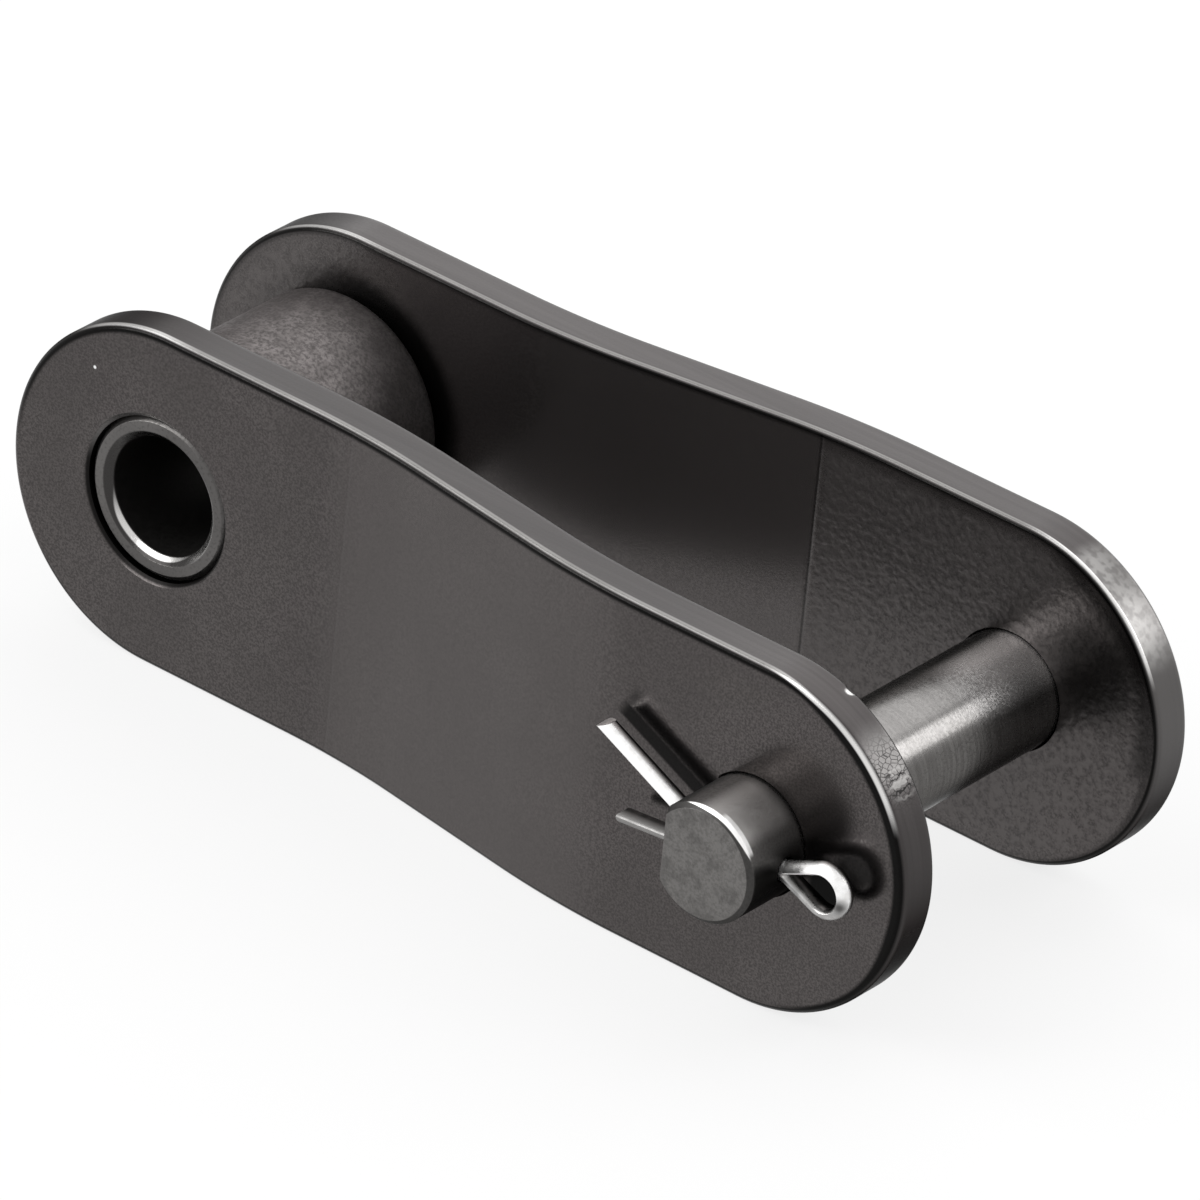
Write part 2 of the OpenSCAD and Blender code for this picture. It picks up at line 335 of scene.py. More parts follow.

    # painted highlight: a bright line along the upper edges, brightest round the wide end
    upper = times(ramp(z, 2.2, 3.4), ramp(x, -4.0, -2.6))
    upper = times(upper, ramp(cloud, 0.3, 0.6, 0.8, 1.0))
    ends = ramp(x, 25.0, 27.4)
    turned = both("MULTIPLY_ADD", times(front, ends), 0.4, both("MULTIPLY_ADD", rear, -0.2, turn))
    line = times(ramp(turned, 0.42, 0.66), ramp(turned, 0.85, 1.2, 1.0, 0.0))
    line = times(line, ramp(gap, 0.17, 0.2, 1.0, 0.0))
    lit = blend(most(ends, ramp(x, -0.6, 1.4, 0.4, 0.0)), tone["edge"], tone["edgeGlint"])
    body = blend(times(line, upper), body, lit)
    # painted shade: the rounding along the lower edges is black
    shadeBelow = times(ramp(turn, 1.0, 1.4, 0.85, 0.0), ramp(z, -4.2, -3.2, 1.0, 0.0))
    body = blend(times(shadeBelow, ramp(gap, 0.17, 0.2, 1.0, 0.0)), body, tone["line"])
    # mouth of the bushing hole, painted shade below and painted light above, then a nick and a speck
    mouth = blend(ramp(z, 0.2, 1.6), tone["line"], tone["pale"])
    body = blend(ramp(radius, 2.86, 2.92, 0.85, 0.0), body, mouth)
    body = blend(mark(tree, coords, (27.47, -5.7, 5.42), 0.05, 0.16), body, (0.7, 0.69, 0.68))
    body = blend(mark(tree, coords, (-2.78, -5.43, 3.64), 0.03, 0.05), body, (0.9, 0.9, 0.9))
    tree.links.new(body, shader.inputs["Base Color"])
    # painted shade: a darker specular tint keeps the same rims dark at a low angle too
    sheen = blend(times(rim, lowShadeAndTip), (1, 1, 1), (0.28, 0.28, 0.28))
    tree.links.new(sheen, shader.inputs["Specular Tint"])
    narrowInside = times(inner, both("SUBTRACT", 1.0, wide))
    tree.links.new(both("MULTIPLY_ADD", narrowInside, -0.2, 0.95), shader.inputs["Metallic"])
    dull = both("MULTIPLY_ADD", most(coarse, rim), 0.12, ramp(fine, 0.3, 0.7, 0.17, 0.24))
    tree.links.new(dull, shader.inputs["Roughness"])
    height = both("MULTIPLY_ADD", times(hide, coarse), 12.0, fine)
    relief(tree, shader, height, 0.4, 0.0035)
    return finish


def rollerFinish():
    finish, tree, shader, coords = newFinish("tumbledRollerSteel", 0.8, 0.45)
    fine = grain(tree, coords, 8000, 2, 0.65)
    blotch = grain(tree, coords, 1800, 2)
    body = tint(tree, spread(tree, blotch, 0.35, 0.65), (0.116, 0.106, 0.104), (0.158, 0.144, 0.142))
    body = tint(tree, spread(tree, fine, 0.38, 0.66, 0.0, 0.8), body, (0.07, 0.064, 0.063))
    tree.links.new(body, shader.inputs["Base Color"])
    tree.links.new(spread(tree, fine, 0.3, 0.7, 0.4, 0.54), shader.inputs["Roughness"])
    shader.inputs["Specular Tint"].default_value = (0.3, 0.3, 0.3, 1)
    relief(tree, shader, calc(tree, "ADD", fine, blotch), 0.5, 0.012)
    return finish


def pinFinish():
    finish, tree, shader, coords = newFinish("groundPinSteel", 0.9, 0.3)
    both, times, most, ramp, blend = tied(tree)
    x, y, z = parted(tree, coords)
    rings = grain(tree, stretched(tree, coords, (260, 7000, 260)), 1.0, 2, 0.6)
    fine = grain(tree, coords, 11000, 1, 0.6)
    body = blend(ramp(rings, 0.35, 0.65), (0.105, 0.1005, 0.097), (0.135, 0.13, 0.1255))
    body = blend(ramp(fine, 0.45, 0.75, 0.0, 0.5), body, (0.08, 0.0765, 0.074))
    # painted light makes the upper side paler, most near the rear plate, and painted shade makes it dark
    # underneath
    across = both("SUBTRACT", x, chain["pitch"])
    lean = both("MULTIPLY_ADD", across, 0.189, times(z, 0.467))
    between = times(ramp(y, -5.7, -5.5), ramp(y, 5.5, 5.7, 1.0, 0.0))
    light = times(ramp(lean, 0.72, 0.97), ramp(y, 1.2, 3.4, 0.12, 0.9))
    body = blend(times(light, between), body, (0.8, 0.78, 0.77))
    shadeBelow = times(ramp(z, -0.9, -0.1, 0.6, 0.0), ramp(y, -1.2, 0.5))
    body = blend(times(shadeBelow, between), body, (0.03, 0.029, 0.028))
    # the end that carries the cotter is paler and duller, and painted shade makes it black underneath
    front = ramp(y, -7.3, -6.9, 1.0, 0.0)
    pale = blend(ramp(fine, 0.35, 0.7), (0.172, 0.166, 0.161), (0.132, 0.127, 0.123))
    blotch = grain(tree, coords, 1500, 4, 0.7)
    mottle = times(ramp(y, -9.55, -9.5, 1.0, 0.0), ramp(blotch, 0.45, 0.62, 0.0, 0.45))
    pale = blend(mottle, pale, (0.06, 0.0575, 0.056))
    body = blend(times(front, 0.8), body, pale)
    # painted highlight along the upper side of the stub, painted shade lower down
    stub = times(ramp(y, -9.46, -9.42), ramp(y, -7.6, -7.0, 1.0, 0.0))
    body = blend(times(stub, ramp(lean, 0.82, 0.97)), body, (0.42, 0.405, 0.395))
    body = blend(times(stub, ramp(lean, 0.5, 0.8, 0.6, 0.0)), body, (0.05, 0.048, 0.047))
    stubShadeBelow = both("MINIMUM", both("SUBTRACT", z, 0.5), both("MULTIPLY_ADD", across, 0.7, times(z, 0.7)))
    stubShadeBelow = times(ramp(stubShadeBelow, -0.3, 0.5, 0.92, 0.0), front, ramp(y, -9.5, -9.3))
    body = blend(stubShadeBelow, body, (0.012, 0.0115, 0.011))
    # bevel of that end: a painted highlight as a bright crescent above, painted shade black elsewhere
    radius = both("SQRT", both("ADD", times(across, across), times(z, z)))
    bevel = times(ramp(radius, 1.8, 1.84), ramp(y, -9.46, -9.38, 1.0, 0.0))
    body = blend(times(bevel, 0.8), body, (0.03, 0.029, 0.028))
    crescent = ramp(both("MULTIPLY_ADD", across, 0.34, times(z, 0.94)), 1.35, 1.85)
    bright = ramp(both("MULTIPLY_ADD", crescent, 0.09, radius), 1.965, 1.985)
    bright = times(bright, bevel, ramp(crescent, 0.0, 0.3))
    facing = both("MULTIPLY_ADD", across, 0.31, times(z, 0.397))
    stripe = times(ramp(facing, 0.91, 0.95), ramp(y, -9.28, -9.22, 1.0, 0.0))
    bright = most(bright, times(stripe, ramp(radius, 1.9, 1.95)))
    body = blend(bright, body, (0.9, 0.89, 0.88))
    tree.links.new(body, shader.inputs["Base Color"])
    shader.inputs["Specular Tint"].default_value = (0.4, 0.4, 0.4, 1)
    dull = both("MULTIPLY_ADD", front, 0.18, ramp(fine, 0.3, 0.7, 0.18, 0.28))
    tree.links.new(dull, shader.inputs["Roughness"])
    relief(tree, shader, both("ADD", rings, fine), 0.3, 0.005)
    return finish


def bushingFinish():
    finish, tree, shader, coords = newFinish("turnedBushingSteel", 0.9, 0.35)
    both, times, most, ramp, blend = tied(tree)
    x, _, z = parted(tree, coords)
    rings = grain(tree, stretched(tree, coords, (200, 6000, 200)), 1.0, 2, 0.6)
    fine = grain(tree, coords, 9000, 1, 0.6)
    radius = axisGap(tree, coords)
    body = blend(ramp(rings, 0.35, 0.65), (0.085, 0.081, 0.079), (0.12, 0.115, 0.112))
    body = blend(ramp(fine, 0.5, 0.75, 0.0, 0.6), body, (0.05, 0.0475, 0.046))
    # painted highlight: a bright crescent on the mouth's bevel below and a lighter strip to the right; painted
    # shade keeps the rest of the bevel and the bore dark, and the bore is dull
    bevel = ramp(radius, 2.24, 2.3, 1.0, 0.0)
    low = both("MULTIPLY_ADD", x, -0.3, times(z, -0.95))
    crescent = ramp(low, 0.9, 2.0)
    glintPatch = ramp(both("MULTIPLY_ADD", crescent, -0.13, radius), 2.02, 2.06, 1.0, 0.0)
    glintPatch = most(times(glintPatch, crescent), ramp(x, 1.2, 2.0, 0.0, 0.4))
    mouth = blend(glintPatch, (0.04, 0.038, 0.037), (0.6, 0.59, 0.58))
    body = blend(bevel, body, mouth)
    bore = ramp(radius, 2.02, 2.05, 1.0, 0.0)
    body = blend(bore, body, (0.024, 0.0228, 0.0218))
    tree.links.new(body, shader.inputs["Base Color"])
    tree.links.new(blend(bore, (1, 1, 1), (0.4, 0.4, 0.4)), shader.inputs["Specular Tint"])
    dull = both("MULTIPLY_ADD", bevel, -0.1, ramp(fine, 0.3, 0.7, 0.28, 0.42))
    tree.links.new(both("MULTIPLY_ADD", bore, 0.3, dull), shader.inputs["Roughness"])
    relief(tree, shader, fine, 0.3, 0.01)
    return finish


def cotterFinish():
    finish, tree, shader, coords = newFinish("drawnCotterSteel", 1.0, 0.3)
    both, times, most, ramp, blend = tied(tree)
    x, _, z = parted(tree, coords)
    fine = grain(tree, coords, 4200, 2, 0.6)
    body = blend(ramp(fine, 0.35, 0.7), (0.95, 0.945, 0.94), (0.8, 0.79, 0.78))
    # the lower leg is dull; painted shade darkens the lower leg, the eye's underside and a spot at its lower
    # right, the neck and the side towards the plate
    lower = times(ramp(x, 23.0, 23.8, 1.0, 0.0), ramp(z, -0.2, 0.1, 1.0, 0.0))
    body = blend(times(lower, 0.92), body, (0.2, 0.195, 0.19))
    eye = times(ramp(x, 27.7, 28.1), ramp(z, -0.5, -0.1, 0.75, 0.0))
    body = blend(eye, body, (0.22, 0.215, 0.21))
    body = blend(mark(tree, coords, (29.7, -8.15, -0.16), 0.04, 0.42), body, (0.1, 0.098, 0.096))
    facing = tree.nodes.new("ShaderNodeSeparateXYZ")
    tree.links.new(coords.node.outputs["Normal"], facing.inputs[0])
    neckShade = times(mark(tree, coords, (27.75, -8.0, -0.3), 0.35, 0.3), ramp(z, -0.1, 0.02, 0.6, 0.0))
    plateSideShade = most(neckShade, ramp(facing.outputs["Y"], -0.12, 0.25, 0.0, 0.95))
    body = blend(plateSideShade, body, (0.02, 0.0195, 0.019))
    tree.links.new(body, shader.inputs["Base Color"])
    dull = both("MULTIPLY_ADD", lower, 0.2, ramp(fine, 0.3, 0.7, 0.26, 0.38))
    tree.links.new(dull, shader.inputs["Roughness"])
    relief(tree, shader, fine, 0.2, 0.006)
    return finish


plateSteel = plateFinish()
rollerSteel = rollerFinish()
pinSteel = pinFinish()
bushingSteel = bushingFinish()
cotterSteel = cotterFinish()
print("finishes ready")


# side plates: flat stamped blanks, cranked by a node tree

plate = {
    "thickness": 1.5, "height": 11.7, "edgeRound": 0.2,
    "crankStart": 8.2, "crankRun": 9.9, "crankBlend": 2.4,
    "bushingHole": 5.6, "bushingBevel": 0.14, "pinHole": 4.01, "pinFlat": 1.44, "holeRound": 0.05,
    "creaseWidth": 0.07, "creaseDepth": 0.02, "firstCrease": 7.65, "secondCrease": 17.53,
    "shearRoughness": 0.003, "station": 0.2, "column": 4.6, "rows": 26, "endSteps": 160, "rimSteps": 14,
    "insets": (1.3, 0.8, 0.52, 0.36, 0.26), "holeSteps": (0, 0.08, 0.25, 0.6), "wallStep": 0.2, "smooth": 38,
}
nick = {"along": 2.05, "up": 5.48, "across": -0.6, "size": 0.24, "depth": 0.07}
halfPlate = plate["thickness"] / 2
plateRadius = plate["height"] / 2
crankAngle = atan((plate["thickness"] + chain["sideGap"]) / plate["crankRun"])
bendRadius = plate["crankBlend"] / tan(crankAngle / 2)
bendLength = bendRadius * crankAngle
slopeLength = plate["crankRun"] / cos(crankAngle) - 2 * plate["crankBlend"]
bendStart = plate["crankStart"] - plate["crankBlend"]
wideStraight = chain["pitch"] - plate["crankStart"] - plate["crankRun"] - plate["crankBlend"]
flatLength = bendStart + 2 * bendLength + slopeLength + wideStraight
narrowY = chain["innerWidth"] / 2 + halfPlate
wideFace = narrowY + halfPlate + plate["thickness"] + chain["sideGap"]


# outline of a hole about its middle, at an angle, grown by a margin
def roundHole(radius):
    return lambda angle, grow: ((radius + grow) * cos(angle), (radius + grow) * sin(angle))


def flattedHole(radius, flat):
    def outline(angle, grow):
        reach = radius + grow
        if reach * cos(angle) < -flat - grow:
            reach = (flat + grow) / -cos(angle)
        return reach * cos(angle), reach * sin(angle)
    return outline


# side is -1 for the front plate and 1 for the rear one; t runs across the thickness, outwards
def stampBlank(name, side, wideHole):
    verts, faces, index = [], [], {}
    values = {"rimShare": [], "edgeGap": [], "edgeTurn": [], "creaseLine": [], "innerFace": [], "nickDepth": []}

    def creaseAt(s, t):
        middle = plate["firstCrease"] if t > 0 else plate["secondCrease"]
        off = (s - middle) / plate["creaseWidth"]
        return max(0.0, 1 - off * off) * (0.4 if t > 0 else 1.0) if abs(t) == halfPlate else 0.0

    # a small chip at the inner edge of the front plate's wide end
    def nickAt(s, t, z):
        off = Vector((s - flatLength - nick["along"], t - nick["across"], z - nick["up"])).length / nick["size"]
        return nick["depth"] * mm * max(0.0, 1 - off * off) if side < 0 else 0.0

    def point(key, s, t, z, rim=0.0, gap=3.0, turn=-1.0):
        if key not in index:
            index[key] = len(verts)
            verts.append((s, side * t, z))
            for label, number in (("rimShare", rim), ("edgeGap", gap), ("edgeTurn", turn),
                                  ("creaseLine", creaseAt(s, t)), ("innerFace", float(t == -halfPlate)),
                                  ("nickDepth", nickAt(s, t, z))):
                values[label].append(number)
        return index[key]

    # stations along the developed length, closer together at the creases
    count = ceil(flatLength / plate["station"])
    creases = [plate["firstCrease"], plate["secondCrease"]]
    width = plate["creaseWidth"]
    stations = [s for s in evenly(0, flatLength, count) if min(abs(s - c) for c in creases) > 1.6 * width]
    stations = sorted(stations + [c + width * k for c in creases for k in (-1, -0.5, 0, 0.5, 1)])
    last = len(stations) - 1
    left = min(range(last), key=lambda k: abs(stations[k] - plate["column"]))
    right = min(range(last), key=lambda k: abs(stations[k] - flatLength + plate["column"]))
    arc = evenly(pi / 2, -pi / 2, plate["endSteps"])[1:-1]
    outline = [("top", s) for s in stations] + [("wide", a) for a in arc]
    outline += [("bottom", s) for s in reversed(stations)] + [("narrow", a - pi) for a in arc]
    loop = len(outline)
    bottomOf = lambda k: last + len(arc) + 1 + last - k

    def edgeAt(i, inset):
        kind, at = outline[i]
        reach = plateRadius - inset
        if kind == "top":
            return at, reach
        if kind == "bottom":
            return at, -reach
        middle = flatLength if kind == "wide" else 0
        return middle + reach * cos(at), reach * sin(at)

    # rings across the section, from the outer face over the rim to the inner face
    r = plate["edgeRound"]
    half = [(inset, halfPlate, 0.0, inset) for inset in plate["insets"]]
    for a, rim in zip(evenly(0, pi / 2, 6), (0, 0, 0, 0.5, 1, 1, 1)):
        half.append((r * (1 - sin(a)), halfPlate - r * (1 - cos(a)), float(rim), r * (1 - sin(a))))
    flatRim = [(0, t, 1.0, 0.0) for t in evenly(halfPlate - r, r - halfPlate, plate["rimSteps"])[1:-1]]
    rings = half + flatRim + [(a, -b, c, d) for a, b, c, d in reversed(half)]
    # way round the edge that shows from the front: 0 to 1 over the rounding, more on the rim, -1 on the faces
    turns = [-1.0] * 5 + evenly(0, 1, 6) + [1.4, 1.8] + [3.0] * (len(rings) - 18) + [-1.0] * 5
    if side > 0:
        turns.reverse()

    def ringPoint(k, i):
        inset, t, rim, gap = rings[k]
        s, z = edgeAt(i % loop, inset)
        return point(("ring", k, i % loop), s, t, z, rim, gap, turns[k])

    for k in range(len(rings) - 1):
        for i in range(loop):
            faces.append((ringPoint(k, i), ringPoint(k, i + 1), ringPoint(k + 1, i + 1), ringPoint(k + 1, i)))

    rows = plate["rows"]
    for layer, t in ((0, halfPlate), (len(rings) - 1, -halfPlate)):
        reach = plateRadius - rings[layer][0]

        def gridPoint(k, j):
            if j == 0:
                return ringPoint(layer, k)
            if j == rows:
                return ringPoint(layer, bottomOf(k))
            return point(("grid", layer, k, j), stations[k], t, reach * (1 - 2 * j / rows))

        for k in range(left, right):
            for j in range(rows):
                faces.append((gridPoint(k, j), gridPoint(k + 1, j), gridPoint(k + 1, j + 1), gridPoint(k, j + 1)))

        # round ends: spokes from the hole to everything that borders the end
        ends = (("narrow", 0, range(left), left, roundHole(plate["bushingHole"] / 2)),
                ("wide", flatLength, range(right + 1, last + 1), right, wideHole))
        for end, middle, straight, column, hole in ends:
            border = [ringPoint(layer, k) for k in straight] + [ringPoint(layer, bottomOf(k)) for k in straight]
            border += [ringPoint(layer, i) for i, (kind, _) in enumerate(outline) if kind == end]
            border += [gridPoint(column, j) for j in range(rows + 1)]
            mouth = plate["bushingBevel"] if end == "narrow" and t > 0 else plate["holeRound"]
            spokes = sorted(border, key=lambda v: atan2(verts[v][2], verts[v][0] - middle))
            angles = [atan2(verts[v][2], verts[v][0] - middle) for v in spokes]
            steps = plate["holeSteps"]

            def spokePoint(i, step):
                i %= len(spokes)
                if step == len(steps):
                    return spokes[i]
                hx, hz = hole(angles[i], mouth)
                bx, bz = verts[spokes[i]][0] - middle, verts[spokes[i]][2]
                share = steps[step] / hypot(bx - hx, bz - hz)
                return point((end, layer, i, step), middle + hx + (bx - hx) * share, t, hz + (bz - hz) * share)

            for i in range(len(spokes)):
                for step in range(len(steps)):
                    faces.append((spokePoint(i, step), spokePoint(i + 1, step),
                                  spokePoint(i + 1, step + 1), spokePoint(i, step + 1)))
            if t > 0:
                # wall of the hole, down to the inner face
                inner = len(rings) - 1
                bend = plate["holeRound"]
                wall = [halfPlate - mouth - k * plate["wallStep"] for k in range(6)] + [bend - halfPlate]

                def wallPoint(i, step):
                    i %= len(angles)
                    if step == 0:
                        return spokePoint(i, 0)
                    if step == len(wall) + 1:
                        hx, hz = hole(angles[i], bend)
                        return point((end, inner, i, 0), middle + hx, -halfPlate, hz)
                    hx, hz = hole(angles[i], 0)
                    return point((end, "wall", i, step), middle + hx, wall[step - 1], hz, 1.0, 0.0)

                for i in range(len(angles)):
                    for step in range(len(wall) + 1):
                        faces.append((wallPoint(i, step), wallPoint(i + 1, step),
                                      wallPoint(i + 1, step + 1), wallPoint(i, step + 1)))
    return meshPiece(name, verts, faces, values)


def pressTree():
    sizes = ("Bend Start", "Bend Radius", "Crank Angle", "Slope Length", "Narrow Offset", "Side",
             "Crease Depth", "Shear Roughness")
    tree, given = startTree("pressCrank", sizes)
    add, nodes = tree.links.new, tree.nodes
    both = partial(calc, tree)

    # drag marks on the sheared rim and the pressed creases, while the blank is flat
    spot = nodes.new("GeometryNodeInputPosition").outputs[0]
    outward = nodes.new("GeometryNodeInputNormal").outputs[0]
    named = {}
    for label in ("rimShare", "creaseLine", "nickDepth"):
        node = nodes.new("GeometryNodeInputNamedAttribute")
        node.data_type = "FLOAT"
        node.inputs["Name"].default_value = label
        named[label] = node.outputs["Attribute"]
    squeeze = nodes.new("ShaderNodeVectorMath")
    squeeze.operation = "MULTIPLY"
    squeeze.inputs[1].default_value = (700, 3200, 700)
    add(spot, squeeze.inputs[0])
    drag = nodes.new("ShaderNodeTexNoise")
    drag.inputs["Scale"].default_value = 1.0
    drag.inputs["Detail"].default_value = 3.0
    add(squeeze.outputs[0], drag.inputs["Vector"])
    dip = both("MINIMUM", both("SUBTRACT", drag.outputs["Fac"], 0.7), 0.0)
    drop = both("MULTIPLY", both("MULTIPLY", dip, given["Shear Roughness"]), named["rimShare"])
    drop = both("SUBTRACT", drop, both("MULTIPLY", named["creaseLine"], given["Crease Depth"]))
    drop = both("SUBTRACT", drop, named["nickDepth"])
    offset = nodes.new("ShaderNodeVectorMath")
    offset.operation = "SCALE"
    add(outward, offset.inputs[0])
    add(drop, offset.inputs["Scale"])
    marked = nodes.new("GeometryNodeSetPosition")
    add(given["Geometry"], marked.inputs["Geometry"])
    add(offset.outputs[0], marked.inputs["Offset"])

    # the two bends: a is the angle turned so far in each, run the way along the slope between them
    parts = nodes.new("ShaderNodeSeparateXYZ")
    add(nodes.new("GeometryNodeInputPosition").outputs[0], parts.inputs[0])
    s, t, z = parts.outputs
    radius, turn, slope = given["Bend Radius"], given["Crank Angle"], given["Slope Length"]
    arc = both("MULTIPLY", radius, turn)
    past = both("SUBTRACT", s, given["Bend Start"])
    clampTo = lambda value, top: both("MINIMUM", both("MAXIMUM", value, 0.0), top)
    firstTurn = clampTo(both("DIVIDE", past, radius), turn)
    run = clampTo(both("SUBTRACT", past, arc), slope)
    secondTurn = clampTo(both("DIVIDE", both("SUBTRACT", both("SUBTRACT", past, arc), slope), radius), turn)
    beyond = both("SUBTRACT", both("SUBTRACT", past, both("MULTIPLY", arc, 2.0)), slope)
    restTurn = both("SUBTRACT", turn, secondTurn)
    x = both("ADD", both("MINIMUM", s, given["Bend Start"]), both("MAXIMUM", beyond, 0.0))
    x = both("ADD", x, both("MULTIPLY", radius, both("SINE", firstTurn)))
    x = both("ADD", x, both("MULTIPLY", run, both("COSINE", turn)))
    x = both("ADD", x, both("MULTIPLY", radius, both("SUBTRACT", both("SINE", turn), both("SINE", restTurn))))
    y = both("MULTIPLY", radius, both("SUBTRACT", 1.0, both("COSINE", firstTurn)))
    y = both("ADD", y, both("MULTIPLY", run, both("SINE", turn)))
    y = both("ADD", y, both("MULTIPLY", radius, both("SUBTRACT", both("COSINE", restTurn), both("COSINE", turn))))
    y = both("MULTIPLY", both("ADD", y, given["Narrow Offset"]), given["Side"])
    heading = both("MULTIPLY", both("SUBTRACT", firstTurn, secondTurn), given["Side"])
    x = both("SUBTRACT", x, both("MULTIPLY", t, both("SINE", heading)))
    y = both("ADD", y, both("MULTIPLY", t, both("COSINE", heading)))
    joined = nodes.new("ShaderNodeCombineXYZ")
    for value, entry in zip((x, y, z), joined.inputs):
        add(value, entry)
    pressed = nodes.new("GeometryNodeSetPosition")
    add(marked.outputs["Geometry"], pressed.inputs["Geometry"])
    add(joined.outputs[0], pressed.inputs["Position"])
    endTree(tree, pressed.outputs["Geometry"], given["Material"])
    return tree


def crankedPlate(name, side, wideHole, tree):
    piece = stampBlank(name, side, wideHole)
    fitTree(piece, tree, {
        "Bend Start": bendStart * mm, "Bend Radius": bendRadius * mm, "Crank Angle": crankAngle,
        "Slope Length": slopeLength * mm, "Narrow Offset": narrowY * mm, "Side": float(side),
        "Crease Depth": plate["creaseDepth"] * mm, "Shear Roughness": plate["shearRoughness"] * mm,
        "Material": plateSteel,
    })
    settle(piece)
    smoothPiece(piece, plate["smooth"])
    return piece


crankTree = pressTree()
frontPlate = crankedPlate("frontPlate", -1, flattedHole(plate["pinHole"] / 2, plate["pinFlat"]), crankTree)
rearPlate = crankedPlate("rearPlate", 1, roundHole(plate["pinHole"] / 2), crankTree)
handOver(frontPlate, "link", "front_plate")
handOver(rearPlate, "link", "rear_plate")
print("side plates cranked:", len(frontPlate.data.polygons), "faces each")


# turned pieces

# rounds the corners of an outline of (radius, along) points; a corner is (radius, along, rounding)
def easeCorners(corners, closed, steps):
    eased = []
    for k, (r, y, ease) in enumerate(corners):
        atEnd = not closed and k in (0, len(corners) - 1)
        here = Vector((r, y))
        if not ease or atEnd:
            eased.append(here)
            continue
        before = Vector(corners[k - 1][:2]) - here
        after = Vector(corners[(k + 1) % len(corners)][:2]) - here
        half = before.angle(after) / 2
        cut = ease / tan(half)
        middle = here + (before.normalized() + after.normalized()).normalized() * (ease / sin(half))
        start = here + before.normalized() * cut - middle
        sweep = (here + after.normalized() * cut - middle).angle_signed(start)
        for share in evenly(0, 1, steps):
            eased.append(middle + Matrix.Rotation(sweep * share, 2) @ start)
    return eased


# spins an outline about the Y axis through x = middle; bend may move a ring's points
def turnPiece(name, outline, closed, middle, angles, material, bend=None):
    verts, faces, rings = [], [], []
    for r, y in outline:
        if r < 1e-6:
            rings.append([len(verts)] * len(angles))
            verts.append((middle, y, 0))
            continue
        rings.append(list(range(len(verts), len(verts) + len(angles))))
        for angle in angles:
            x, z = r * cos(angle), r * sin(angle)
            if bend:
                x, z = bend(x, z, y)
            verts.append((middle + x, y, z))
    pairs = list(zip(rings, rings[1:])) + ([(rings[-1], rings[0])] if closed else [])
    for first, second in pairs:
        for i in range(len(angles)):
            j = (i + 1) % len(angles)
            corners = (first[i], first[j], second[j], second[i])
            faces.append(tuple(dict.fromkeys(corners)))
    return meshPiece(name, verts, faces, None, material)


roller = {
    "outside": 7.92, "bore": 5.66, "endGap": 0.16, "edgeRound": 0.4, "boreRound": 0.3, "turns": 200, "smooth": 35,
}
bushing = {
    "outside": 5.6, "bore": 4.02, "recess": 0.19, "boreBevel": 0.25, "outerBevel": 0.2,
    "sideRound": 0.06, "endRound": 0.05, "turns": 180, "smooth": 30,
}


def makeRoller():
    out, bore = roller["outside"] / 2, roller["bore"] / 2
    end = chain["innerWidth"] / 2 - roller["endGap"]
    ease, inner = roller["edgeRound"], roller["boreRound"]
    corners = [(out, -end, ease), (out, end, ease), (bore, end, inner), (bore, -end, inner)]
    outline = easeCorners(corners, True, 6)
    piece = turnPiece("turnedRoller", outline, True, 0, evenly(0, 2 * pi, roller["turns"])[:-1], rollerSteel)
    smoothPiece(piece, roller["smooth"])
    return piece


def makeBushing():
    out, bore = bushing["outside"] / 2, bushing["bore"] / 2
    end = narrowY + halfPlate - bushing["recess"]
    mouth, edge = bushing["boreBevel"], bushing["outerBevel"]
    side, face = bushing["sideRound"], bushing["endRound"]
    half = [(bore, end - mouth, side), (bore + mouth, end, face), (out - edge, end, face), (out, end - edge, side)]
    corners = half + [(r, -y, ease) for r, y, ease in reversed(half)]
    outline = easeCorners(corners, True, 3)
    piece = turnPiece("pressedBushing", outline, True, 0, evenly(0, 2 * pi, bushing["turns"])[:-1], bushingSteel)
    smoothPiece(piece, bushing["smooth"])
    return piece


rollerPiece = makeRoller()
bushingPiece = makeBushing()
handOver(rollerPiece, "roller", "roller")
handOver(bushingPiece, "link", "bushing")
print("roller and bushing turned")


# link pin, and the sizes of the cotter that its cross hole has to fit

pin = {
    "diameter": 3.97, "frontLength": 2.56, "flat": 1.42, "stepGap": 0.1, "bevel": 0.16,
    "headDiameter": 5.2, "headHeight": 1.1, "headSlope": 0.45, "endRound": 0.04, "bevelRound": 0.06,
    "seatRound": 0.05, "headRound": 0.1, "crownRound": 0.12, "turns": 192, "holeSteps": 48, "drillReach": 4,
    "smooth": 32,
}
cotter = {
    "diameter": 0.7, "slit": 0.04, "holeClearance": 0.1, "plateGap": 0.5,
    "eyeRadius": 0.6, "eyeReach": 1.58, "neckRadius": 0.6, "bendRadius": 0.5,
    "upperAngle": 26, "upperLength": 4.2, "lowerAngle": 38, "lowerDrop": 0.6, "lowerTilt": 5, "lowerLength": 1.85,
    "edgeRound": 0.05, "arcSteps": 17, "stepAngle": 5, "tipSlant": 0.9, "smooth": 50,
}
cotterY = -wideFace - cotter["plateGap"] - cotter["diameter"] / 2


